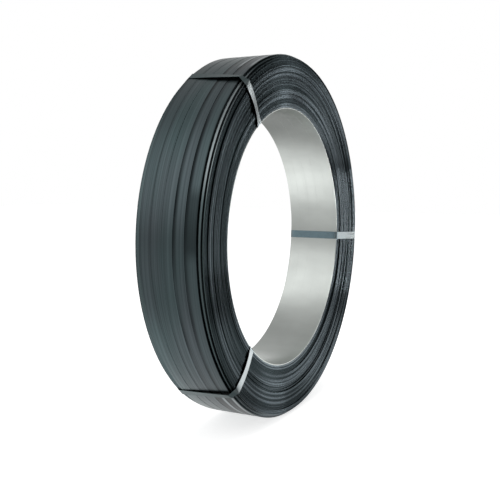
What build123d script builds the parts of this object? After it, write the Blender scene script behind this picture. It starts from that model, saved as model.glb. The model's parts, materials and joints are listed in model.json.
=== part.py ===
import math
import os

from build123d import *

# A mill-wound coil of steel strapping stands on its tread, with its bore lying level along Y
# Lengths are in millimetres, and the end that faces minus Y is the one the photograph shows

# Strip
strip_width = 19.0
strip_thickness = 0.8
strip_overlap = 1.1

# Coil
bore_diameter = 406.4
winding_depth = 82.3
ribbons_across = 5
shoulder_run = 8.6
shoulder_rise = 6.7
shoulder_ledges = 2
end_lean = 8.5

# Bands of turns that stand in and out on the two ends
band_count = 9
band_wander = 0.9
near_wave_share = 2.4
far_wave_share = 1.9

# Ties round the section, each at its share of a full turn up from plus X
tie_width = 13.0
tie_thickness = 0.5
tie_clearance = 0.1
tie_lap = 48.0
right_turn_share = -0.009
upper_turn_share = 0.343
lower_turn_share = 0.634

# Sizes that follow from those above
bore_radius = bore_diameter / 2
coil_radius = bore_radius + winding_depth
rim_radius = coil_radius - shoulder_rise
ribbon_pitch = strip_width - strip_overlap
tread_half = ribbon_pitch * ribbons_across / 2
rim_half = tread_half + shoulder_run
bore_half = rim_half - end_lean
band_height = (rim_radius - bore_radius) / band_count
ledge_rise = shoulder_rise / shoulder_ledges
ledge_run = shoulder_run / shoulder_ledges
lean_slope = end_lean / (rim_radius - bore_radius)
tie_half = tie_width / 2
tie_bore_seat = math.sqrt(bore_radius**2 - tie_half**2)
tie_end_seat = band_wander + lean_slope * band_height / 2


def end_outline(wave_share):
    """Gives one end's outline from the bore to the tread, as radius and distance from mid width."""
    outline = []
    for band in range(band_count):
        inner = bore_radius + band_height * band
        outer = inner + band_height
        middle = (inner + outer) / 2
        proud = band_wander * math.sin(wave_share * band)
        reach = bore_half + lean_slope * (middle - bore_radius) + proud
        outline.append((inner, reach))
        outline.append((outer, reach))
    for ledge in reversed(range(shoulder_ledges)):
        outer = coil_radius - ledge_rise * ledge
        edge = tread_half + ledge_run * ledge
        outline.append((outer - ledge_rise, edge))
        outline.append((outer, edge))
    return outline


def tread_outline():
    """Gives the shingled tread, where each ribbon's near edge lies on the ribbon before it."""
    outline = []
    for ribbon in range(1, ribbons_across):
        edge = ribbon_pitch * ribbon - tread_half
        outline.append((coil_radius - strip_thickness, edge))
        outline.append((coil_radius, edge))
    return outline


# Wound coil, turned in one piece about its bore
near_points = [(radius, -reach) for radius, reach in end_outline(near_wave_share)]
far_points = end_outline(far_wave_share)
coil_points = near_points + tread_outline() + far_points[::-1]
axis_line = Axis((0, 0, coil_radius), (0, 1, 0))

with BuildPart() as wound_coil:
    with BuildSketch(Plane((0, 0, coil_radius), (1, 0, 0), (0, 0, 1))):
        with BuildLine():
            Polyline(coil_points, close=True)
        make_face()
    revolve(axis=axis_line)

os.makedirs("parts", exist_ok=True)
wound_coil.part.label = "wound_coil"
export_step(wound_coil.part, "parts/wound_coil.step")


def tie_plane(turn_share):
    """Gives the plane of the coil's section at that share of a turn, with X out along the radius."""
    turn = math.tau * turn_share
    outward = (math.cos(turn), 0, math.sin(turn))
    around = (-math.sin(turn), 0, math.cos(turn))
    return Plane((0, 0, coil_radius), outward, around)


# Ties, each a flat band drawn tight over the corners of the section and lapped on the far end
seat_half = bore_half + tie_end_seat
seat_rim_half = rim_half + tie_end_seat
seat_points = [
    (tie_bore_seat, -seat_half),
    (tie_bore_seat, seat_half),
    (rim_radius, seat_rim_half),
    (coil_radius, tread_half),
    (coil_radius, -tread_half),
    (rim_radius, -seat_rim_half),
]
lap_middle = ((tie_bore_seat + rim_radius) / 2, (seat_half + seat_rim_half) / 2)
lap_turn = math.degrees(math.atan2(seat_rim_half - seat_half, rim_radius - tie_bore_seat))

tie_turn_shares = {
    "tie_right": right_turn_share,
    "tie_upper": upper_turn_share,
    "tie_lower": lower_turn_share,
}

for tie_name, tie_turn_share in tie_turn_shares.items():
    with BuildPart() as tie:
        with BuildSketch(tie_plane(tie_turn_share)):
            with BuildLine():
                Polyline(seat_points, close=True)
            make_face()
            offset(amount=tie_clearance + tie_thickness, kind=Kind.ARC)
            with Locations(Location((lap_middle[0], lap_middle[1], 0), (0, 0, lap_turn))):
                with Locations((0, tie_clearance)):
                    Rectangle(tie_lap, tie_thickness * 2, align=(Align.CENTER, Align.MIN))
            with BuildSketch(tie_plane(tie_turn_share), mode=Mode.SUBTRACT):
                with BuildLine():
                    Polyline(seat_points, close=True)
                make_face()
                offset(amount=tie_clearance, kind=Kind.ARC)
        extrude(amount=tie_half, both=True)
    tie.part.label = tie_name
    export_step(tie.part, f"parts/{tie_name}.step")
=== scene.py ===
"""Dresses a coil of blued steel strapping: its wound ends, its tread, its bright bore and its ties."""

import json
import math

import bpy
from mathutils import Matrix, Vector


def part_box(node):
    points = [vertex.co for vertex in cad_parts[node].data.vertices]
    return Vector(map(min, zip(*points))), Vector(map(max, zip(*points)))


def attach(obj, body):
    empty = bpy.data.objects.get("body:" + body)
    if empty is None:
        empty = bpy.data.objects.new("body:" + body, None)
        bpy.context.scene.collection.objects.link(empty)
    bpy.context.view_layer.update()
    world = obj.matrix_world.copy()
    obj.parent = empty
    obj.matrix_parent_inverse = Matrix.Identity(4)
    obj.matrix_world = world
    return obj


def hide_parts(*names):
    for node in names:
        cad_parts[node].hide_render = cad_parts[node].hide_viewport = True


bl_info = {
    "name": "Steel Strapping Coil",
    "version": (1, 0, 0),
    "blender": (4, 5, 0),
    "location": "View3D > Sidebar > Coil",
    "description": "Winds a coil of blued steel strapping, ties it and sets it in a plain studio",
    "category": "Add Mesh",
}

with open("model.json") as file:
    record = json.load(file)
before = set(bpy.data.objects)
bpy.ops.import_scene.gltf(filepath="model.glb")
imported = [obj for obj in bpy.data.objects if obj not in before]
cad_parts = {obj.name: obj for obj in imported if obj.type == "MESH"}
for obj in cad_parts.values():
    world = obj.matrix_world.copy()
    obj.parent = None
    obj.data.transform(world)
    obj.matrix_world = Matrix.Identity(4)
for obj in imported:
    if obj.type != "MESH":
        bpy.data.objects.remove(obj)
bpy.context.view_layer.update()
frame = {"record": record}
COIL_LOW, COIL_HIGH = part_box("wound_coil")
BORE_DIMS = frame["record"]["mounts"][0]["dims"]
MM = 0.001

# Angles round the coil, in degrees up from plus X
SEAM_ANGLE = -3.2
# Where the shoulder's painted highlights are strongest
UPPER_SHEEN_ANGLE, LOWER_SHEEN_ANGLE = 142, 248
DRIFT_ANGLE = 250

# Each tie's angle, which way it runs askew, and how far its edge has sprung up
TIES = {
    "tie_right": (SEAM_ANGLE, 0.0, 0.0),
    "tie_upper": (123.5, 1.0, 1.0),
    "tie_lower": (228.2, -1.0, 0.5),
}

# A tie's path has this many steps on a long run, and its end rises over this share of the last one
RUN_STEPS = 8
RISE_SHARE = 0.25

# Edges flatter than this are shaded smooth
SHARP_ANGLE = math.radians(25)

# The tree input that each kind of value needs
SOCKET_KINDS = {
    float: "NodeSocketFloat",
    int: "NodeSocketInt",
    bpy.types.Material: "NodeSocketMaterial",
}

# Where each piece starts in the noise, and how far apart its groups, turns and ribbons lie there
NEAR_SEED, FAR_SEED, TREAD_SEED, BORE_SEED = 3.7, 11.2, 2.4, 5.1
GROUP_STEP, TURN_STEP, RIBBON_STEP, TONE_STEP = 5.17, 3.71, 7.3, 9.7

# Most of a noise lies between these two values
NOISE_SPAN = (0.3, 0.7)

# Waves to the metre of each pattern, along the strip, across it and through its layers
ROLLED_LINES = (3, 700, 400)
WARM_PATCHES = (6, 24, 20)
DARK_STREAKS = (1.4, 170, 60)
EDGE_SMEARS = (5, 60, 60)
BORE_LINES = (2, 400, 200)
BORE_CLOUDS = (14, 10, 20)
BORE_WAVES = (45, 9, 20)

# Places round the tread in metres down from its left side: the middle of the patch of painted shade, and
# where the near ribbons' painted shade and lighter lines begin and end
SHADE_PATCH_PLACE = -0.022
LOW_SHADE_AND_SHEEN_BEGINS, LOW_SHADE_AND_SHEEN_ENDS = (0.24, 0.27), (0.4, 0.5)
HIGH_LINES_BEGINS, HIGH_LINES_ENDS = (-0.31, -0.29), (-0.56, -0.46)

# Waves to the metre in the ties' scuffs, alike all ways
TIE_SCUFFS = 260.0

# The lighter line on a ribbon, a painted highlight low down, as a share of its width from its near edge
LIGHT_LINE = 0.12

# How much a slit edge mirrors at a glancing angle
EDGE_GLANCE = (0.575, 0.59, 0.6, 1)

# Height of the fine bumps on the steel
BUMP_HEIGHT = 0.2 * MM

# Width of the camera's sensor in millimetres
SENSOR_WIDTH = 36

# Each lamp's place, its width and height, and how bright its face is
LAMPS = {
    "side_lamp": ((1.25, -0.42, 0.58), (0.1, 0.3), 3.0),
    "strip_lamp": ((1.25, -0.38, 0.2), (0.06, 0.4), 23.0),
    "sheen_lamp": ((1.25, -0.655, 0.6), (0.024, 0.34), 7.5),
    "front_lamp": ((1.05, -0.95, 0.32), (0.7, 0.55), 1.4),
    "top_lamp": ((-0.35, -0.1, 1.6), (0.9, 0.9), 1.3),
}

# Headings of the room's backdrop, its window and its dim side
BACKDROP_HEADING = (0.885, 0.465, 0.0)
WINDOW_HEADING = (-0.66, 0.48, 0.56)
DIM_HEADING = (0.9, -0.43, 0.1)

# Half the floor's side, its colour, the darker colour that the steel mirrors in it (a painted shade in the
# floor's reflection), and the glow that makes it white to the camera
FLOOR_HALF = 6
FLOOR_COLOUR, MIRRORED_FLOOR_COLOUR = (0.82, 0.82, 0.82), (0.4, 0.4, 0.4)
FLOOR_GLOW = 0.72

# Soft pools of light on the floor that only the steel mirrors
BORE_POOL, SIDE_POOL = (-0.12, 0.25, 0), (0.5, -0.22, 0)
GLEAM_PLACE, GLEAM_REACH, GLEAM_TURN = (0.1, -0.137, 0), (0.24, 0.04, 1), math.radians(-24)


def a_length(name, description, default):
    """Makes a length that a user can change."""
    return bpy.props.FloatProperty(name=name, description=description, default=default, unit="LENGTH")


def an_angle(name, description, degrees):
    """Makes an angle that a user can change, given in degrees."""
    default = math.radians(degrees)
    return bpy.props.FloatProperty(name=name, description=description, default=default, subtype="ANGLE")


def a_number(name, description, default, least):
    """Makes a plain number that a user can change."""
    return bpy.props.FloatProperty(name=name, description=description, default=default, min=least)


def a_count(name, description, default, least):
    """Makes a count that a user can change."""
    return bpy.props.IntProperty(name=name, description=description, default=default, min=least)


def a_colour(name, description, default):
    """Makes a colour that a user can change."""
    return bpy.props.FloatVectorProperty(
        name=name, description=description, default=default, subtype="COLOR", min=0, max=1
    )


class CoilSizes(bpy.types.PropertyGroup):
    """Sizes of the wound strip"""

    coil_radius: a_length(
        "Coil Radius", "From the bore's axis to the outside of the tread", (COIL_HIGH.z - COIL_LOW.z) / 2
    )
    axis_height: a_length(
        "Axis Height", "Height of the bore's axis above the floor", (COIL_HIGH.z + COIL_LOW.z) / 2
    )
    bore_radius: a_length("Bore Radius", "From the axis to the bore's wall", BORE_DIMS["r_mm"] * MM)
    bore_length: a_length(
        "Bore Length", "Length of the bore's wall along the axis", BORE_DIMS["length_mm"] * MM
    )
    strip_width: a_length("Strip Width", "Width of the strapping", 19 * MM)
    strip_thickness: a_length("Strip Thickness", "Thickness of the strapping", 0.8 * MM)
    strip_overlap: a_length("Strip Overlap", "How far each ribbon on the tread lies over the next", 1.1 * MM)
    seam_gap: a_length("Seam Gap", "Open gap beside each ribbon's edge", 0.1 * MM)
    strip_rounding: a_length("Edge Rounding", "Rounding of the strip's slit edges", 0.08 * MM)
    ribbons: a_count("Ribbons", "Ribbons that lie side by side across the tread", 5, 1)
    turns: a_count("Turns", "Layers of strip from the bore to the tread", 98, 2)
    points_per_turn: a_count("Points per Turn", "Points that draw one turn", 128, 16)
    edge_depth: a_length("Edge Depth", "How far the end turns reach in under the tread", 7 * MM)
    rim_reach: a_length("Rim Reach", "From mid width to the widest turn", 53.35 * MM)
    tread_reach: a_length("Tread Reach", "From mid width to the edge of the tread", 44.75 * MM)
    shoulder_rise: a_length("Shoulder Rise", "Height of the stepped shoulder beside the tread", 6.7 * MM)
    shoulder_ledges: a_count("Shoulder Ledges", "Ledges of strip on each shoulder", 2, 1)
    group_wander: a_length("Group Wander", "How far groups of turns stand in and out on the ends", 1.15 * MM)
    turn_wander: a_length("Turn Wander", "How far single turns stand in and out on the ends", 0.14 * MM)
    turns_per_group: a_number("Turns per Group", "Turns that stand in or out together on the ends", 7.0, 1)
    ribbon_drift: a_length(
        "Ribbon Drift", "How far the ribbons swing towards the near end low on the tread", 5 * MM
    )
    ribbon_wander: a_length(
        "Ribbon Wander", "How far each ribbon strays along the axis on its way round", 0.8 * MM
    )
    bright_turns: a_count("Bright Turns", "Innermost turns whose edges are bare and bright", 2, 0)


class TieSizes(bpy.types.PropertyGroup):
    """Sizes of the bands that hold the coil together"""

    width: a_length("Width", "Width of a tie", 13 * MM)
    thickness: a_length("Thickness", "Thickness of a tie", 0.5 * MM)
    clearance: a_length("Clearance", "Gap between a tie and the corners that it bears on", 0.15 * MM)
    end_seat: a_length("End Seat", "How far the proudest turns hold a tie off the ends", 1.4 * MM)
    lap: a_length("Lap", "How far a tie's ends lap over each other on the far end", 48 * MM)
    bow: a_length("Bow", "How far a tie springs out between its bends", 0.9 * MM)
    tread_twist: an_angle("Tread Twist", "How far a slack tie is twisted over the tread", 19)
    end_twist: an_angle("End Twist", "How far a slack tie is twisted where it bends on to the near end", 3)
    end_spring: an_angle("End Spring", "How much more a slack tie is twisted part way over the near end", 10)
    sway: a_length("Sway", "How far a slack tie curves sideways over the near end", 3.5 * MM)
    skew: a_length("Skew", "How far a slack tie runs askew at the near rim", 10 * MM)
    bend_radius: a_length("Bend Radius", "Radius of a tie's bends over the coil's corners", 2.5 * MM)


class Finishes(bpy.types.PropertyGroup):
    """Colours of the steel"""

    blued: a_colour("Blued Face", "Face of the blued strip", (0.086, 0.125, 0.13))
    blued_tint: a_colour("Blued Tint", "Patches where the blueing is warmer", (0.105, 0.122, 0.135))
    edge_dark: a_colour("Dark Edge", "Darkest slit edges", (0.0175, 0.024, 0.0255))
    edge_light: a_colour("Light Edge", "Lightest slit edges", (0.098, 0.117, 0.128))
    # Oil and painted shade along the ribbons' laps
    oil_and_shade: a_colour("Oil", "Oil and shade along the ribbons' laps", (0.008, 0.011, 0.012))
    # Worn steel, also used as painted highlight on the shoulder's ledges and edges and on the ribbons' edge
    # lines
    worn_and_sheen: a_colour("Worn Steel", "Steel where the blueing is rubbed off", (0.33, 0.37, 0.38))
    bright: a_colour("Bright Face", "Bare bright face of the strip in the bore", (0.605, 0.635, 0.61))
    tie: a_colour("Tie", "Face of the ties", (0.22, 0.31, 0.35))


class StageSettings(bpy.types.PropertyGroup):
    """Camera and room"""

    camera_place: bpy.props.FloatVectorProperty(
        name="Camera Place",
        description="Where the camera stands",
        default=(-1.1178, -0.5609, 0.3887),
        subtype="TRANSLATION",
    )
    camera_azimuth: an_angle("Camera Azimuth", "Turn of the camera about the upright axis", -62.26)
    camera_dip: an_angle("Camera Dip", "How far the camera looks down", 5.74)
    camera_lens: bpy.props.FloatProperty(
        name="Camera Lens",
        description="Focal length for a sensor 36 mm wide",
        default=55.43,
        unit="CAMERA",
    )
    room_light: a_number("Room Light", "Strength of the light from all round", 0.5, 0)
    window_light: a_number(
        "Window Light", "Strength of the wide soft light from the left and behind", 0.9, 0
    )


class Bench:
    """Adds nodes to one tree and joins them."""

    def __init__(self, tree):
        self.tree = tree

    def feed(self, socket, value):
        """Joins a socket to another one, or gives it a value of its own."""
        if isinstance(value, bpy.types.NodeSocket):
            self.tree.links.new(value, socket)
        else:
            socket.default_value = value

    def give(self, node, named):
        """Feeds a node's inputs by their names."""
        for name, value in named.items():
            self.feed(node.inputs[name], value)

    def add(self, kind, *inputs, named=None, **settings):
        """Adds a node, with its settings, its first inputs in order and others by name."""
        node = self.tree.nodes.new(kind)
        for name, value in settings.items():
            setattr(node, name, value)
        for socket, value in zip(node.inputs, inputs):
            self.feed(socket, value)
        self.give(node, named or {})
        return node

    def run(self, kind, *inputs, **settings):
        """Adds a node and gives its first result."""
        return self.add(kind, *inputs, **settings).outputs[0]

    def math(self, operation, *values):
        """Adds a Math node and gives its result."""
        return self.run("ShaderNodeMath", *values, operation=operation)

    def product(self, first, *others):
        """Multiplies values together."""
        for other in others:
            first = self.math("MULTIPLY", first, other)
        return first

    def vector(self, operation, *values):
        """Adds a Vector Math node and gives its vector."""
        return self.run("ShaderNodeVectorMath", *values, operation=operation)

    def measure(self, operation, *values):
        """Adds a Vector Math node and gives its value."""
        return self.add("ShaderNodeVectorMath", *values, operation=operation).outputs["Value"]

    def remap(self, value, *ranges, **settings):
        """Maps a value from its low and high to a new low and high."""
        return self.run("ShaderNodeMapRange", value, *ranges, **settings)

    def fade(self, value, *ranges):
        """Maps a range as remap does, but eases in and out."""
        return self.remap(value, *ranges, interpolation_type="SMOOTHSTEP")

    def join(self, x, y, z):
        """Adds a Combine XYZ node and gives its vector."""
        return self.run("ShaderNodeCombineXYZ", x, y, z)

    def split(self, vector):
        """Adds a Separate XYZ node and gives its three values."""
        return self.add("ShaderNodeSeparateXYZ", vector).outputs

    def noise(self, vector, scale, detail):
        """Adds a noise and gives its value."""
        return self.run("ShaderNodeTexNoise", vector, named={"Scale": scale, "Detail": detail})

    def grain(self, vector, fineness, detail):
        """Adds a noise with its own fineness on each axis, and gives its value."""
        return self.noise(self.vector("MULTIPLY", vector, fineness), 1.0, detail)

    def read(self, name):
        """Reads a value that a node tree or a plan stored on the points."""
        return self.add("ShaderNodeAttribute", attribute_name=name).outputs["Fac"]

    def mix(self, share, first, second):
        """Mixes two colours by a share."""
        node = self.add("ShaderNodeMix", data_type="RGBA", named={"Factor": share})
        sockets = [socket for socket in node.inputs if socket.type == "RGBA"]
        for socket, colour in zip(sockets, (first, second)):
            self.feed(socket, colour if isinstance(colour, bpy.types.NodeSocket) else (*colour, 1))
        return next(socket for socket in node.outputs if socket.type == "RGBA")


def new_tree(name, values):
    """Starts a Geometry Nodes tree with an input for each value, and gives its bench and inputs."""
    tree = bpy.data.node_groups.new(name, "GeometryNodeTree")
    tree.interface.new_socket("Geometry", in_out="OUTPUT", socket_type="NodeSocketGeometry")
    tree.interface.new_socket("Geometry", in_out="INPUT", socket_type="NodeSocketGeometry")
    for label, value in values.items():
        tree.interface.new_socket(label, in_out="INPUT", socket_type=SOCKET_KINDS[type(value)])
    inputs = tree.nodes.new("NodeGroupInput").outputs
    return Bench(tree), {socket.name: socket for socket in inputs if socket.name}


def sweep(bench, path, section, tilt=0.0):
    """Sweeps a section along a path that lies round the coil or its section, tilted as it goes."""
    upright = bench.run("GeometryNodeSetCurveNormal", path, mode="Z_UP")
    tilted = bench.run("GeometryNodeSetCurveTilt", upright, True, tilt)
    return bench.run("GeometryNodeCurveToMesh", tilted, section, named={"Fill Caps": True})


def finish_tree(bench, given, geometry, rotation):
    """Turns and lifts a piece to its place, rounds its shading, sets its material and ends the tree."""
    lifted = {"Translation": bench.join(0.0, 0.0, given["Axis Height"]), "Rotation": rotation}
    placed = bench.run("GeometryNodeTransform", geometry, named=lifted)
    soft = bench.math("LESS_THAN", bench.run("GeometryNodeInputMeshEdgeAngle"), SHARP_ANGLE)
    smooth = bench.run("GeometryNodeSetShadeSmooth", placed, True, True, domain="FACE")
    edges = bench.run("GeometryNodeSetShadeSmooth", smooth, True, soft, domain="EDGE")
    realized = bench.run("GeometryNodeRealizeInstances", edges)
    painted = bench.run("GeometryNodeSetMaterial", realized, True, given["Material"])
    bench.add("NodeGroupOutput", painted)
    return bench.tree


def strip_section(name, thickness, width, rounding, start=0.0, ease_last=True):
    """Draws the strip's section as a loop, thickness along X, with each point's share of the width."""
    half = thickness / 2
    flat = half - rounding
    end = start + width
    outline = [(-flat, start), (flat, start), (half, start + rounding)]
    if ease_last:
        outline += [(half, end - rounding), (flat, end), (-flat, end), (-half, end - rounding)]
    else:
        outline += [(half, end), (-half, end)]
    outline.append((-half, start + rounding))
    mesh = bpy.data.meshes.new(name)
    edges = [(i, (i + 1) % len(outline)) for i in range(len(outline))]
    mesh.from_pydata([(x, y, 0.0) for x, y in outline], edges, [])
    across = mesh.attributes.new("across", "FLOAT", "POINT")
    across.data.foreach_set("value", [(y - start) / width for _, y in outline])
    return mesh


def around_place(bench):
    """Gives the unit vector out from the axis and the radius, before the coil is stood up."""
    flat = bench.vector("MULTIPLY", bench.run("GeometryNodeInputPosition"), (1, 1, 0))
    return bench.vector("NORMALIZE", flat), bench.measure("LENGTH", flat)


def facing_share(bench, outward, angle):
    """Gives the cosine of the turn between a place on the coil and an angle round it."""
    side = bench.join(bench.math("COSINE", angle), bench.math("SINE", angle), 0.0)
    return bench.measure("DOT_PRODUCT", outward, side)


def own_swing(bench, outward, number, step, seed, scale, detail):
    """Gives each numbered group, turn or ribbon its own swing round the coil, from minus one to one."""
    rise = bench.math("MULTIPLY_ADD", number, step, seed)
    place = bench.vector("ADD", outward, bench.join(0.0, 0.0, rise))
    return bench.remap(bench.noise(place, scale, detail), *NOISE_SPAN, -1.0, 1.0)


def mark(bench, geometry, **values):
    """Stores named values on each point, for the materials to read."""
    for name, value in values.items():
        geometry = bench.run(
            "GeometryNodeStoreNamedAttribute", geometry, True, name, value, data_type="FLOAT"
        )
    return geometry


def shift(bench, geometry, along):
    """Moves points along the coil's axis, before the coil is stood up."""
    return bench.run("GeometryNodeSetPosition", geometry, named={"Offset": bench.join(0.0, 0.0, along)})


def sheen_share(bench, outward, angle):
    """Gives how strongly the shoulder takes its painted highlight, most at one angle round the coil."""
    return bench.fade(facing_share(bench, outward, angle), 0.9, 0.985, 0.08, 1.0)


def edge_turns_tree(values):
    """Winds the turns that show on one end, in a spiral whose edges stand in and out."""
    bench, given = new_tree("Wound End Turns", values)
    start, end, rim = given["Start Radius"], given["End Radius"], given["Rim Radius"]
    points, seed = given["Points per Turn"], given["Seed"]
    spiral = bench.run("GeometryNodeCurveSpiral", points, given["Turns"], start, end, 0.0)
    started = {"Rotation": bench.join(0.0, 0.0, given["Start Angle"])}
    spiral = bench.run("GeometryNodeTransform", spiral, named=started)
    turn = bench.math("DIVIDE", bench.run("GeometryNodeInputIndex"), points)
    whole_turn = bench.math("FLOOR", turn)
    outward, radius = around_place(bench)

    # Uneven groups of turns stand in and out together, and drift on their way round
    uneven = bench.noise(bench.join(0.0, seed, bench.product(whole_turn, 0.31)), 1.0, 1.0)
    group_number = bench.math("DIVIDE", whole_turn, given["Turns per Group"])
    group_number = bench.math("FLOOR", bench.math("MULTIPLY_ADD", uneven, 2.2, group_number))
    group = own_swing(bench, outward, group_number, GROUP_STEP, seed, 0.7, 1.0)

    # Single turns stand out by a hair more
    single = own_swing(bench, outward, whole_turn, TURN_STEP, seed, 1.3, 0.0)

    # The ends lean out towards the rim and step in over the shoulder
    lean = bench.remap(radius, start, rim, given["Bore Reach"], given["Rim Reach"])
    turn_radius = bench.remap(whole_turn, 0.0, given["Turns"], start, end)
    climb = bench.math("POWER", bench.remap(turn_radius, rim, end, 0.0, 1.0), 0.7)
    ledges = given["Shoulder Ledges"]
    stair = bench.remap(climb, 0.0, 1.0, 0.0, 1.0, ledges, interpolation_type="STEPPED")
    step = bench.product(bench.math("POWER", stair, 1.5), given["Shoulder Run"])
    shoulder = bench.math("GREATER_THAN", turn_radius, rim)
    stray = bench.product(group, bench.math("SUBTRACT", 1.0, shoulder))
    reach = bench.math("SUBTRACT", lean, step)
    reach = bench.math("MULTIPLY_ADD", stray, given["Group Wander"], reach)
    reach = bench.math("MULTIPLY_ADD", single, given["Turn Wander"], reach)

    # The shoulder's ledges take a painted highlight near the upper and lower ties, and its edges a painted
    # highlight near the lower one
    upper_sheen = sheen_share(bench, outward, given["Upper Sheen Angle"])
    lower_sheen = sheen_share(bench, outward, given["Lower Sheen Angle"])
    marked = mark(
        bench,
        shift(bench, spiral, reach),
        turn=turn,
        group=group,
        rubbed=bench.product(bench.math("MAXIMUM", upper_sheen, lower_sheen), shoulder),
        scraped=bench.product(lower_sheen, shoulder),
        ledge=bench.product(shoulder, bench.math("ADD", stair, 0.5)),
    )
    swept = sweep(bench, marked, bench.run("GeometryNodeMeshToCurve", given["Geometry"]))
    return finish_tree(bench, given, swept, bench.join(math.pi / 2, 0.0, given["Facing"]))


def ribbons_tree(values):
    """Lays ribbons of strip side by side round the coil, as on the tread and in the bore."""
    bench, given = new_tree("Ribbons Side by Side", values)
    last = bench.math("SUBTRACT", given["Ribbons"], 1.0)
    spacing = {
        "Start Location": bench.join(0.0, 0.0, bench.product(last, given["Pitch"], -0.5)),
        "Offset": bench.join(0.0, 0.0, given["Pitch"]),
    }
    row = bench.run("GeometryNodeMeshLine", given["Ribbons"], mode="OFFSET", named=spacing)
    counted = mark(bench, row, ribbon=bench.run("GeometryNodeInputIndex"))
    radius = {"Radius": given["Radius"]}
    ring = bench.run("GeometryNodeCurvePrimitiveCircle", given["Points Around"], named=radius)
    rings = bench.run("GeometryNodeInstanceOnPoints", counted, named={"Instance": ring})
    loose = bench.run("GeometryNodeRealizeInstances", rings)

    # The ribbons drift towards the near end at one angle, the farthest the most, and wander a little each
    outward, _ = around_place(bench)
    facing = facing_share(bench, outward, given["Drift Angle"])
    drift = bench.fade(facing, 0.25, 1.0, 0.0, given["Drift"])
    ribbon = bench.run("GeometryNodeInputNamedAttribute", "ribbon", data_type="FLOAT")
    drift = bench.product(drift, bench.remap(ribbon, 0.0, last, 1.0, 0.2))
    own = own_swing(bench, outward, ribbon, RIBBON_STEP, given["Seed"], 0.8, 1.0)
    placed = shift(bench, loose, bench.math("MULTIPLY_ADD", own, given["Wander"], drift))
    section = bench.run("GeometryNodeMeshToCurve", given["Geometry"])
    swept = sweep(bench, placed, section, given["Shingle Tilt"])
    return finish_tree(bench, given, swept, bench.join(math.pi / 2, 0.0, 0.0))


def tie_tree(values):
    """Sweeps a flat band along a path in the coil's section, twists it and turns it to its place."""
    bench, given = new_tree("Tie Band", values)
    path = bench.run("GeometryNodeMeshToCurve", given["Geometry"])
    side = bench.join(1.0, 1.0, given["Skew Side"])
    sided = bench.vector("MULTIPLY", bench.run("GeometryNodeInputPosition"), side)
    path = bench.run("GeometryNodeSetPosition", path, named={"Position": sided})
    section = bench.run("GeometryNodeCurvePrimitiveQuadrilateral", given["Thickness"], given["Width"])
    section = bench.run("GeometryNodeFilletCurve", section, 1, given["Edge Rounding"], mode="POLY")
    twist = bench.run("GeometryNodeInputNamedAttribute", "twist", data_type="FLOAT")
    swept = sweep(bench, path, section, bench.product(twist, given["Spring"]))
    return finish_tree(bench, given, swept, bench.join(0.0, bench.product(given["Turn"], -1.0), 0.0))


def grow(name, tree, values, plan):
    """Runs a node tree on a plan and leaves its result as a plain mesh object with that name."""
    holder = bpy.data.objects.new(name + "_plan", plan)
    bpy.context.scene.collection.objects.link(holder)
    modifier = holder.modifiers.new("Build", "NODES")
    modifier.node_group = tree
    for item in tree.interface.items_tree:
        if item.in_out == "INPUT" and item.name in values:
            modifier[item.identifier] = values[item.name]
    shown = holder.evaluated_get(bpy.context.evaluated_depsgraph_get())
    mesh = bpy.data.meshes.new_from_object(shown)
    bpy.data.objects.remove(holder)
    mesh.name = name
    piece = bpy.data.objects.new(name, mesh)
    bpy.context.scene.collection.objects.link(piece)
    return piece


def settle(piece, node):
    """Lets a piece ride on the coil in place of a CAD node, and hides that node."""
    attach(piece, "root")
    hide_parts(node)


def new_material(name):
    """Starts a metal and gives its material, its bench and its shader."""
    material = bpy.data.materials.new(name)
    material.use_nodes = True
    bench = Bench(material.node_tree)
    shader = material.node_tree.nodes["Principled BSDF"]
    shader.inputs["Metallic"].default_value = 1.0
    return material, bench, shader


def object_place(bench):
    """Gives a point's place on its object."""
    return bench.add("ShaderNodeTexCoord").outputs["Object"]


def unrolled_place(bench, sizes):
    """Gives a point's length along the strip, its place across and its radius, seam under a tie."""
    centring = {"Location": (0, 0, sizes.axis_height), "Rotation": (0, -math.radians(SEAM_ANGLE), 0)}
    centred = bench.run("ShaderNodeMapping", object_place(bench), vector_type="TEXTURE", named=centring)
    x, y, z = bench.split(centred)
    angle = bench.math("ARCTAN2", bench.product(z, -1.0), bench.product(x, -1.0))
    radius = bench.measure("LENGTH", bench.join(x, 0.0, z))
    return bench.join(bench.product(angle, sizes.coil_radius), y, radius)


def darker(colour, share):
    """Gives a colour at a share of its level."""
    return [channel * share for channel in colour]


def raise_bump(bench, shader, height, strength):
    """Gives the shader a fine bump from a height."""
    bump = {"Strength": strength, "Distance": BUMP_HEIGHT, "Height": height}
    bench.give(shader, {"Normal": bench.run("ShaderNodeBump", named=bump)})


def brush(bench, shader, direction, amount):
    """Spreads the gloss along a direction, as lines rolled into the steel do."""
    bench.give(shader, {"Anisotropic": amount, "Tangent": direction})


def paint(bench, shader, steel, pattern, smoothest, roughest):
    """Gives the shader its colour, and a roughness that follows a pattern."""
    roughness = bench.remap(pattern, *NOISE_SPAN, smoothest, roughest)
    bench.give(shader, {"Base Color": steel, "Roughness": roughness})


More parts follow.
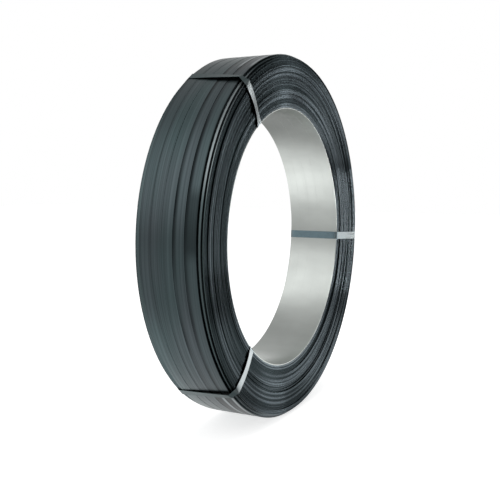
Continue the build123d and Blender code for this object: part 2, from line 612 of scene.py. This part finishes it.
def shade_ribbons(bench, steel, along, sizes, colours):
    """Gives each ribbon its own depth of blue, darkens its lapped edge with oil and painted shade, and
    darkens a patch of the nearest ribbon with painted shade.
    """
    ribbon = bench.read("ribbon")
    ribbon_rise = bench.product(ribbon, TONE_STEP)
    tone_place = bench.join(bench.product(along, 1.6), ribbon_rise, 0.0)
    tone = bench.remap(bench.noise(tone_place, 1.0, 1.0), *NOISE_SPAN, 0.0, 0.25)
    steel = bench.mix(tone, steel, colours.edge_dark)

    # Oil and painted shade darken each ribbon's lapped edge, coming and going along it, strongest on the
    # near ribbons
    seam = bench.fade(bench.read("across"), 0.6, 0.93, 0.0, 1.0)
    oil_and_shade_place = bench.join(bench.product(along, 7.0), ribbon_rise, 4.0)
    oil_and_shade = bench.remap(bench.noise(oil_and_shade_place, 1.0, 2.0), 0.35, 0.6, 0.4, 0.95)
    near = bench.remap(ribbon, sizes.ribbons - 3.0, sizes.ribbons - 2.0, 0.2, 1.0)
    steel = bench.mix(bench.product(seam, oil_and_shade, near), steel, colours.oil_and_shade)

    # A patch of painted shade darkens the nearest ribbon a little above mid height
    off_shade_patch = bench.math("ABSOLUTE", bench.math("SUBTRACT", along, SHADE_PATCH_PLACE))
    shade_patch = bench.fade(off_shade_patch, 0.03, 0.055, 0.6, 0.0)
    nearest = bench.math("GREATER_THAN", ribbon, sizes.ribbons - 1.5)
    return bench.mix(bench.product(shade_patch, nearest), steel, colours.edge_dark)


def shade_and_line_near_ribbons(bench, steel, along, sizes, colours):
    """Darkens the near two ribbons low down as painted shade, and paints lighter lines along their near
    edges: painted highlights low down, and lighter lines at the top.
    """
    near = bench.math("GREATER_THAN", bench.read("ribbon"), sizes.ribbons - 2.5)
    low_start = bench.fade(along, *LOW_SHADE_AND_SHEEN_BEGINS, 0.0, 1.0)
    low_end = bench.fade(along, *LOW_SHADE_AND_SHEEN_ENDS, 1.0, 0.0)
    low = bench.product(low_start, near, low_end)
    high_start = bench.fade(along, *HIGH_LINES_BEGINS, 1.0, 0.0)
    high_end = bench.fade(along, *HIGH_LINES_ENDS, 0.0, 1.0)
    high = bench.product(high_start, near, high_end)
    # Painted shade on the near two ribbons low down
    steel = bench.mix(bench.product(low, 0.85), steel, colours.edge_dark)
    # Lighter lines along the near edges: painted highlights low down, lighter lines at the top
    off_line = bench.math("ABSOLUTE", bench.math("SUBTRACT", bench.read("across"), LIGHT_LINE))
    worn_and_sheen = bench.fade(off_line, 0.08, 0.2, 1.0, 0.0)
    return bench.mix(bench.product(worn_and_sheen, bench.math("ADD", low, high)), steel, colours.worn_and_sheen)


def blued_face_finish(sizes, colours):
    """Satin blued face, with rolling lines, warm patches, seams darkened by oil and painted shade, a patch
    of painted shade, and lighter lines along the near edges, painted highlights low down.
    """
    material, bench, shader = new_material("Blued strip face")
    place = unrolled_place(bench, sizes)
    along = bench.split(place)[0]
    lines = bench.grain(place, ROLLED_LINES, 2.0)
    patches = bench.remap(bench.grain(place, WARM_PATCHES, 3.0), 0.4, 0.7, 0.0, 0.8)
    streaks = bench.remap(bench.grain(place, DARK_STREAKS, 2.0), 0.4, 0.7, 0.0, 0.35)
    steel = bench.mix(patches, colours.blued, colours.blued_tint)
    steel = bench.mix(streaks, steel, colours.edge_dark)
    steel = bench.mix(bench.remap(lines, 0.45, 0.7, 0.0, 0.35), steel, colours.edge_dark)
    steel = shade_ribbons(bench, steel, along, sizes, colours)
    steel = shade_and_line_near_ribbons(bench, steel, along, sizes, colours)
    paint(bench, shader, steel, lines, 0.3, 0.42)
    brush(bench, shader, bench.join(0.0, 1.0, 0.0), 0.4)
    raise_bump(bench, shader, lines, 0.06)
    return material


def turn_tones_and_painted_light(bench, turn, x, z, smears, sizes):
    """Gives each turn its own random tone from dark to light, with painted light on groups that stand proud
    and towards plus X, and painted shade near the rim above.
    """
    own = {"W": turn, "Scale": 0.22, "Detail": 2.0}
    by_turn = bench.run("ShaderNodeTexNoise", noise_dimensions="1D", named=own)
    blend = bench.remap(by_turn, *NOISE_SPAN, 0.2, 0.8)
    # Groups that stand proud and turns towards plus X are made lighter: painted light. The smears add random
    # tone.
    for value, share in ((bench.read("group"), 0.2), (x, 0.7), (smears, 0.6)):
        blend = bench.math("MULTIPLY_ADD", value, share, blend)
    # The outer turns above the axis are made darker: painted shade
    outer = bench.remap(turn, sizes.turns * 0.7, sizes.turns * 0.88, 0.0, 0.18)
    above = bench.remap(z, sizes.axis_height, sizes.axis_height + 0.12, 0.0, 1.0)
    blend = bench.math("SUBTRACT", blend, bench.product(outer, above))
    return bench.remap(blend, 0.72, 1.0, 0.0, 1.0)


def blued_edge_finish(sizes, colours):
    """Slit edges of the blued turns, with painted light where they stand proud, bare and bright next to the
    bore.
    """
    material, bench, shader = new_material("Blued strip edge")
    turn = bench.read("turn")
    smears = bench.grain(unrolled_place(bench, sizes), EDGE_SMEARS, 2.0)
    x, _, z = bench.split(object_place(bench))
    tones_and_painted_light = turn_tones_and_painted_light(bench, turn, x, z, smears, sizes)
    edge = bench.mix(tones_and_painted_light, colours.edge_dark, colours.edge_light)
    bare = bench.math("LESS_THAN", turn, float(sizes.bright_turns))
    edge = bench.mix(bench.product(bare, 0.25), edge, colours.worn_and_sheen)
    # The lower shoulder's edges near the lower tie are made lighter: a painted highlight
    edge = bench.mix(bench.product(bench.read("scraped"), 0.4), edge, colours.worn_and_sheen)

    # The flat of the strip shows on the shoulder's ledges: its darker copy of the blued face there is
    # painted shade, and the worn colour mixed in near the ties is a painted highlight, most on the upper
    # ledge
    smeared = bench.remap(smears, 0.3, 0.5, 0.6, 1.0)
    ledge = bench.remap(bench.read("ledge"), 0.5, 1.0, 0.6, 1.0)
    rubbed = bench.product(smeared, bench.read("rubbed"), ledge)
    flank = bench.mix(rubbed, darker(colours.blued, 0.65), colours.worn_and_sheen)
    is_flank = bench.math("GREATER_THAN", bench.read("across"), 0.05)
    paint(bench, shader, bench.mix(is_flank, edge, flank), smears, 0.19, 0.22)
    bench.give(shader, {"Specular Tint": EDGE_GLANCE})
    brush(bench, shader, bench.join(x, 0.0, bench.math("SUBTRACT", z, sizes.axis_height)), 1.0)
    return material


def bright_face_finish(sizes, colours):
    """Bare bright steel of the bore, with faint rolling lines and clouding."""
    material, bench, shader = new_material("Bright strip face")
    place = unrolled_place(bench, sizes)
    lines = bench.grain(place, BORE_LINES, 2.0)
    clouds = bench.remap(bench.grain(place, BORE_CLOUDS, 3.0), 0.35, 0.7, 0.0, 1.0)
    waves = bench.grain(place, BORE_WAVES, 1.0)
    steel = bench.mix(clouds, colours.bright, darker(colours.bright, 0.86))
    paint(bench, shader, steel, lines, 0.285, 0.315)
    brush(bench, shader, bench.join(0.0, 1.0, 0.0), 0.4)
    raise_bump(bench, shader, bench.math("MULTIPLY_ADD", waves, 4.0, bench.product(lines, 0.1)), 0.1)
    return material


def tie_finish(colours):
    """Smooth glossy steel of the ties, worn on the ends, painted darker over the tread as painted shade,
    with faint scuffs.
    """
    material, bench, shader = new_material("Tie steel")
    scuffs = bench.noise(object_place(bench), TIE_SCUFFS, 3.0)
    share = bench.remap(scuffs, 0.4, 0.7, 0.0, 1.0)
    steel = bench.mix(share, colours.tie, darker(colours.tie, 0.8))
    bare = bench.read("bare")
    inside = bench.fade(bare, 0.6, 0.9, 0.0, 1.0)
    clear_of_tread_shade = bench.fade(bare, 0.15, 0.4, 0.0, 1.0)
    steel = bench.mix(inside, darker(colours.worn_and_sheen, 0.8), steel)
    # Over the tread the tie takes a darker blued colour: painted shade
    steel = bench.mix(clear_of_tread_shade, darker(colours.blued, 0.8), steel)
    gloss = bench.remap(scuffs, *NOISE_SPAN, 0.2, 0.27)
    dull = bench.math("MULTIPLY_ADD", clear_of_tread_shade, -0.18, 0.18)
    bench.give(shader, {"Base Color": steel, "Roughness": bench.math("ADD", gloss, dull)})
    raise_bump(bench, shader, scuffs, 0.02)
    return material


class OBJECT_OT_wind_coil_ends(bpy.types.Operator):
    """Winds the turns that show on the two ends"""

    bl_idname = "object.wind_coil_ends"
    bl_label = "Wind Coil Ends"

    def execute(self, context):
        sizes, colours = context.scene.coil_sizes, context.scene.coil_finishes
        thickness, rounding = sizes.strip_thickness, sizes.strip_rounding
        section = strip_section("end_section", thickness, sizes.edge_depth, rounding, ease_last=False)
        shared = {
            "Start Radius": sizes.bore_radius + thickness * 1.5,
            "End Radius": sizes.coil_radius - thickness * 1.6,
            "Rim Radius": sizes.coil_radius - sizes.shoulder_rise,
            "Bore Reach": sizes.bore_length / 2,
            "Rim Reach": sizes.rim_reach,
            "Shoulder Run": sizes.rim_reach - sizes.tread_reach,
            "Shoulder Ledges": float(sizes.shoulder_ledges),
            "Upper Sheen Angle": math.radians(UPPER_SHEEN_ANGLE),
            "Lower Sheen Angle": math.radians(LOWER_SHEEN_ANGLE),
            "Turns": sizes.turns,
            "Points per Turn": sizes.points_per_turn,
            "Turns per Group": sizes.turns_per_group,
            "Group Wander": sizes.group_wander,
            "Turn Wander": sizes.turn_wander,
            "Axis Height": sizes.axis_height,
            "Material": blued_edge_finish(sizes, colours),
        }

        # The turns step out under the right tie, so no step shows
        seam = math.radians(SEAM_ANGLE) + math.pi / sizes.points_per_turn
        near = {**shared, "Seed": NEAR_SEED, "Start Angle": seam, "Facing": 0.0}
        far = {**shared, "Seed": FAR_SEED, "Start Angle": math.pi - seam, "Facing": math.pi}
        tree = edge_turns_tree(near)
        for name, values in (("near_end_turns", near), ("far_end_turns", far)):
            settle(grow(name, tree, values, section), "wound_coil")
        return {"FINISHED"}


class OBJECT_OT_lay_coil_ribbons(bpy.types.Operator):
    """Lays the ribbons of the tread and of the bore"""

    bl_idname = "object.lay_coil_ribbons"
    bl_label = "Lay Coil Ribbons"

    def execute(self, context):
        sizes, colours = context.scene.coil_sizes, context.scene.coil_finishes
        thickness, rounding = sizes.strip_thickness, sizes.strip_rounding
        pitch = sizes.strip_width - sizes.strip_overlap
        tilt = math.asin(thickness / pitch) * 0.3
        lift = math.sin(tilt) * pitch / 2
        bore_pitch = sizes.bore_length / sizes.ribbons
        shared = {
            "Ribbons": sizes.ribbons,
            "Points Around": sizes.points_per_turn * 2,
            "Drift Angle": math.radians(DRIFT_ANGLE),
            "Axis Height": sizes.axis_height,
        }
        tread = {
            **shared,
            "Radius": sizes.coil_radius - thickness / 2 - lift,
            "Pitch": pitch,
            "Shingle Tilt": tilt,
            "Drift": sizes.ribbon_drift,
            "Wander": sizes.ribbon_wander,
            "Seed": TREAD_SEED,
            "Material": blued_face_finish(sizes, colours),
        }
        bore = {
            **shared,
            "Radius": sizes.bore_radius + thickness / 2,
            "Pitch": bore_pitch,
            "Shingle Tilt": 0.0,
            "Drift": 0.0,
            "Wander": 0.0,
            "Seed": BORE_SEED,
            "Material": bright_face_finish(sizes, colours),
        }

        # The bore's ribbons lie tighter than the tread's, with sharper edges
        width = pitch - sizes.seam_gap
        bore_width = bore_pitch - sizes.seam_gap / 4
        tread_section = strip_section("tread_section", thickness, width, rounding, -width / 2)
        bore_section = strip_section("bore_section", thickness, bore_width, rounding / 4, -bore_width / 2)
        tree = ribbons_tree(tread)
        settle(grow("tread_ribbons", tree, tread, tread_section), "wound_coil")
        settle(grow("bore_ribbons", tree, bore, bore_section), "wound_coil")
        return {"FINISHED"}


def bend(before, corner, after, radius):
    """Gives the points of the arc that rounds a corner of a path."""
    ahead = (Vector(after) - Vector(corner)).normalized()
    back = (Vector(before) - Vector(corner)).normalized()
    half_turn = (math.pi - ahead.angle(back)) / 2
    inward = (ahead + back).normalized()
    onward = (ahead - back).normalized()
    centre = Vector(corner) + inward * radius / math.cos(half_turn)
    angles = [half_turn * share for share in (-1.0, -0.5, 0.0, 0.5, 1.0)]
    return [centre + radius * (onward * math.sin(angle) - inward * math.cos(angle)) for angle in angles]


def tie_corners(sizes, ties):
    """Gives the corners of a tie's path as radius and axis: bore, far end, tread and near end."""
    half = ties.clearance + ties.thickness / 2
    bore_seat = math.sqrt(sizes.bore_radius**2 - (ties.width / 2) ** 2) - half
    rim_radius = sizes.coil_radius - sizes.shoulder_rise + half
    bore_half = sizes.bore_length / 2 + ties.end_seat / 2
    rim_half = sizes.rim_reach + ties.end_seat
    tread_half = sizes.tread_reach + half
    far_seat = sizes.coil_radius + half
    near_seat = far_seat + math.sin(ties.tread_twist) * ties.width / 2
    return [
        (bore_seat, -bore_half),
        (bore_seat, bore_half),
        (rim_radius, rim_half),
        (far_seat, tread_half),
        (near_seat, -tread_half),
        (rim_radius, -rim_half),
    ]


def tie_stops(corners, lap):
    """Gives the stops of a tie's path, as run, share of the run and how far the end is lifted there."""
    far_run = 1
    shoulder_runs = (2, 4)
    half_lap = lap / 2 / math.dist(corners[far_run], corners[far_run + 1])
    start, end = 0.5 - half_lap, 0.5 + half_lap
    shares = [step / RUN_STEPS for step in range(RUN_STEPS)]

    # The band starts part way over the far end, and its last stretch lies on its first
    stops = [(far_run, start, 0.0)]
    stops += [(far_run, share, 0.0) for share in shares if share > start]
    for run in (2, 3, 4, 5, 0):
        run_shares = [0.0] if run in shoulder_runs else shares
        stops += [(run, share, 0.0) for share in run_shares]
    stops += [(far_run, share, min(share / RISE_SHARE, 1.0)) for share in shares if share < end]
    stops.append((far_run, end, 1.0))
    return stops


def tie_path(name, sizes, ties):
    """Draws the band's middle line round the section, radius along X and axis along Y, with its twist."""
    corners = tie_corners(sizes, ties)
    stops = tie_stops(corners, ties.lap)

    # Each run starts at its corner: bore, far end, far shoulder, tread, near shoulder, near end
    bows = (0.0, ties.bow, 0.0, ties.bow / 3, 0.0, ties.bow)
    sways = (0.0, 0.0, 0.0, 0.0, 0.0, -ties.sway)
    springs = (0.0, 0.0, 0.0, 0.0, 0.0, ties.end_spring)
    # How bare each run is; the tread's low values also give the tie its painted shade there
    bare_and_shade_levels = (1.0, 0.5, 0.2, 0.0, 0.0, 0.5)
    twists = (ties.end_twist / 2, 0.0, 0.0, 0.0, ties.tread_twist, ties.end_twist)
    skews = [ties.skew * share for share in (-0.4, -0.5, -0.9, -0.8, 0.7, 1.0)]
    lift = ties.thickness * 1.2
    points, turns, wear_and_shade = [], [], []
    for i, share, lifted in stops:
        j = (i + 1) % len(corners)
        run = (corners[j][0] - corners[i][0], corners[j][1] - corners[i][1])
        length = math.hypot(*run)
        outward = (-run[1] / length, run[0] / length)
        hump = math.sin(math.pi * share)
        late_hump = math.sin(math.pi * share**1.4)
        out = bows[i] * hump + lifted * lift
        x = corners[i][0] + run[0] * share + outward[0] * out
        y = corners[i][1] + run[1] * share + outward[1] * out
        points.append((x, y, skews[i] + (skews[j] - skews[i]) * share + sways[i] * hump))
        turns.append(twists[i] + (twists[j] - twists[i]) * share + springs[i] * late_hump)
        wear_and_shade.append(bare_and_shade_levels[i] if share else (bare_and_shade_levels[i] + bare_and_shade_levels[i - 1]) / 2)

    # Its corners are rounded, and the points of a bend share the corner's twist, wear and painted shade
    path, twist, bare = [], [], []
    for k, (_, share, _) in enumerate(stops):
        stretch = [Vector(points[k])] if share else bend(*points[k - 1 : k + 2], ties.bend_radius)
        path += stretch
        twist += [turns[k]] * len(stretch)
        bare += [wear_and_shade[k]] * len(stretch)
    mesh = bpy.data.meshes.new(name)
    mesh.from_pydata(path, [(k, k + 1) for k in range(len(path) - 1)], [])
    mesh.attributes.new("twist", "FLOAT", "POINT").data.foreach_set("value", twist)
    # The bare value carries the ties' wear and the painted shade over the tread
    mesh.attributes.new("bare", "FLOAT", "POINT").data.foreach_set("value", bare)
    return mesh


class OBJECT_OT_draw_coil_ties(bpy.types.Operator):
    """Draws the three ties round the coil's section"""

    bl_idname = "object.draw_coil_ties"
    bl_label = "Draw Coil Ties"

    def execute(self, context):
        sizes, ties = context.scene.coil_sizes, context.scene.coil_ties
        path = tie_path("tie_path", sizes, ties)
        values = {
            "Width": ties.width,
            "Thickness": ties.thickness,
            "Edge Rounding": ties.thickness / 3,
            "Skew Side": 0.0,
            "Spring": 0.0,
            "Turn": 0.0,
            "Axis Height": sizes.axis_height,
            "Material": tie_finish(context.scene.coil_finishes),
        }
        tree = tie_tree(values)
        for node, (angle, side, spring) in TIES.items():
            own = {"Turn": math.radians(angle), "Skew Side": side, "Spring": -side * spring}
            settle(grow(node + "_band", tree, {**values, **own}, path), node)
        return {"FINISHED"}


def add_lamp(name, place, aim, size, radiance):
    """Adds a soft rectangular lamp that points at a place, as bright as a surface of that level."""
    light = bpy.data.lights.new(name, "AREA")
    light.shape = "RECTANGLE"
    light.size, light.size_y = size
    light.energy = radiance * math.pi * size[0] * size[1]
    lamp = bpy.data.objects.new(name, light)
    lamp.location = place
    towards = Vector(aim) - Vector(place)
    lamp.rotation_euler = towards.to_track_quat("-Z", "Y").to_euler()
    bpy.context.scene.collection.objects.link(lamp)


def seen_by(bench):
    """Gives whether the camera sees a place itself, and whether it is seen mirrored or through glass."""
    path = bench.add("ShaderNodeLightPath").outputs
    mirrored = bench.math("MAXIMUM", path["Is Glossy Ray"], path["Is Transmission Ray"])
    return path["Is Camera Ray"], mirrored


class SCENE_OT_set_coil_stage(bpy.types.Operator):
    """Sets the floor, the lamps, the room and the camera"""

    bl_idname = "scene.set_coil_stage"
    bl_label = "Set Coil Stage"

    def execute(self, context):
        scene, stage = context.scene, context.scene.coil_stage
        self.lay_floor(scene)
        self.light_room(scene, stage)
        centre = (0, 0, scene.coil_sizes.axis_height)
        for name, (place, size, radiance) in LAMPS.items():
            add_lamp(name, place, centre, size, radiance)
        camera = bpy.data.cameras.new("photo_camera")
        camera.sensor_width = SENSOR_WIDTH
        camera.lens = stage.camera_lens
        holder = bpy.data.objects.new("photo_camera", camera)
        holder.location = stage.camera_place
        holder.rotation_euler = (math.pi / 2 - stage.camera_dip, 0, stage.camera_azimuth)
        scene.collection.objects.link(holder)
        scene.camera = holder
        scene.view_settings.view_transform = "Standard"
        return {"FINISHED"}

    def lay_floor(self, scene):
        """Lays a plain white floor that keeps the coil's shadow."""
        half = FLOOR_HALF
        mesh = bpy.data.meshes.new("floor")
        corners = [(-half, -half, 0), (half, -half, 0), (half, half, 0), (-half, half, 0)]
        mesh.from_pydata(corners, [], [(0, 1, 2, 3)])
        floor = bpy.data.objects.new("floor", mesh)
        scene.collection.objects.link(floor)
        material = bpy.data.materials.new("White floor")
        material.use_nodes = True
        bench = Bench(material.node_tree)
        nodes = bench.tree.nodes
        nodes.remove(nodes["Principled BSDF"])
        by_camera, mirrored = seen_by(bench)
        # The steel mirrors the floor in a darker colour: a painted shade in its reflection
        matte_colour = bench.mix(mirrored, FLOOR_COLOUR, MIRRORED_FLOOR_COLOUR)
        matte = bench.run("ShaderNodeBsdfDiffuse", matte_colour)
        level = bench.product(mirrored, self.mirrored_pools(bench))
        level = bench.math("MULTIPLY_ADD", by_camera, FLOOR_GLOW, level)
        glow = bench.run("ShaderNodeEmission", (1, 1, 1, 1), level)
        both = bench.run("ShaderNodeAddShader", matte, glow)
        bench.give(nodes["Material Output"], {"Surface": both})
        mesh.materials.append(material)

    def mirrored_pools(self, bench):
        """Gives the level of the pools of light that the bore, the right side and the tread mirror."""
        place = object_place(bench)
        bore_pool = bench.fade(bench.measure("DISTANCE", place, BORE_POOL), 0.08, 0.42, 1.25, 0.08)
        side_pool = bench.fade(bench.measure("DISTANCE", place, SIDE_POOL), 0.2, 0.5, 1.7, 0.0)
        tread_pool = bench.fade(bench.split(place)[0], -0.6, -0.1, 0.42, 0.0)
        laid = {"Location": GLEAM_PLACE, "Rotation": (0, 0, GLEAM_TURN), "Scale": GLEAM_REACH}
        off_gleam = bench.run("ShaderNodeMapping", place, vector_type="TEXTURE", named=laid)
        gleam = bench.fade(bench.measure("LENGTH", off_gleam), 0.2, 1.0, 1.3, 0.0)
        sides = bench.math("ADD", bore_pool, side_pool)
        return bench.math("ADD", sides, bench.math("ADD", tread_pool, gleam))

    def light_room(self, scene, stage):
        """Makes the room white to the camera, and to the steel a white backdrop in a dimmer room."""
        world = bpy.data.worlds.new("Studio")
        world.use_nodes = True
        scene.world = world
        bench = Bench(world.node_tree)
        heading = bench.add("ShaderNodeTexCoord").outputs["Generated"]
        by_camera, mirrored = seen_by(bench)

        # The backdrop ends at a height and shows only in the steel
        behind = bench.measure("DOT_PRODUCT", heading, BACKDROP_HEADING)
        backdrop = bench.fade(behind, 0.6, 0.95, 0.0, 0.85)
        low = bench.fade(bench.split(heading)[2], 0.4, 0.65, 1.0, 0.0)
        backdrop = bench.product(backdrop, low, mirrored)

        # The room is dimmer behind the camera and on one side, and a wide window lights it
        front = bench.fade(behind, -1.0, -0.4, stage.room_light / 2, stage.room_light)
        beside = bench.measure("DOT_PRODUCT", heading, DIM_HEADING)
        front = bench.product(front, bench.fade(beside, 0.6, 0.95, 1.0, 0.6))
        window = bench.measure("DOT_PRODUCT", heading, WINDOW_HEADING)
        glow = bench.fade(window, 0.78, 1.0, 0.0, stage.window_light)
        room = bench.math("ADD", bench.math("MAXIMUM", backdrop, front), glow)
        strength = bench.math("MAXIMUM", by_camera, room)
        bench.give(bench.tree.nodes["Background"], {"Color": (1, 1, 1, 1), "Strength": strength})


class VIEW3D_PT_coil(bpy.types.Panel):
    """Lists the coil's settings and steps"""

    bl_label = "Steel Strapping Coil"
    bl_idname = "VIEW3D_PT_coil"
    bl_space_type = "VIEW_3D"
    bl_region_type = "UI"
    bl_category = "Coil"

    def draw(self, context):
        layout = self.layout
        for group_name in GROUPS:
            group = getattr(context.scene, group_name)
            column = layout.column(align=True)
            for setting in group.bl_rna.properties:
                if setting.identifier not in ("name", "rna_type"):
                    column.prop(group, setting.identifier)
        for step in STEPS:
            layout.operator(step.bl_idname)


GROUPS = {
    "coil_sizes": CoilSizes,
    "coil_ties": TieSizes,
    "coil_finishes": Finishes,
    "coil_stage": StageSettings,
}
STEPS = (
    OBJECT_OT_wind_coil_ends,
    OBJECT_OT_lay_coil_ribbons,
    OBJECT_OT_draw_coil_ties,
    SCENE_OT_set_coil_stage,
)
CLASSES = (*GROUPS.values(), *STEPS, VIEW3D_PT_coil)


def register():
    """Adds the settings, the steps and the panel."""
    for made in CLASSES:
        bpy.utils.register_class(made)
    for name, group in GROUPS.items():
        setattr(bpy.types.Scene, name, bpy.props.PointerProperty(type=group))


def unregister():
    """Takes away what register added."""
    for name in GROUPS:
        delattr(bpy.types.Scene, name)
    for made in reversed(CLASSES):
        bpy.utils.unregister_class(made)


def main():
    """Builds every piece and the stage."""
    register()
    bpy.ops.object.wind_coil_ends()
    bpy.ops.object.lay_coil_ribbons()
    bpy.ops.object.draw_coil_ties()
    bpy.ops.scene.set_coil_stage()


if __name__ == "__main__":
    main()
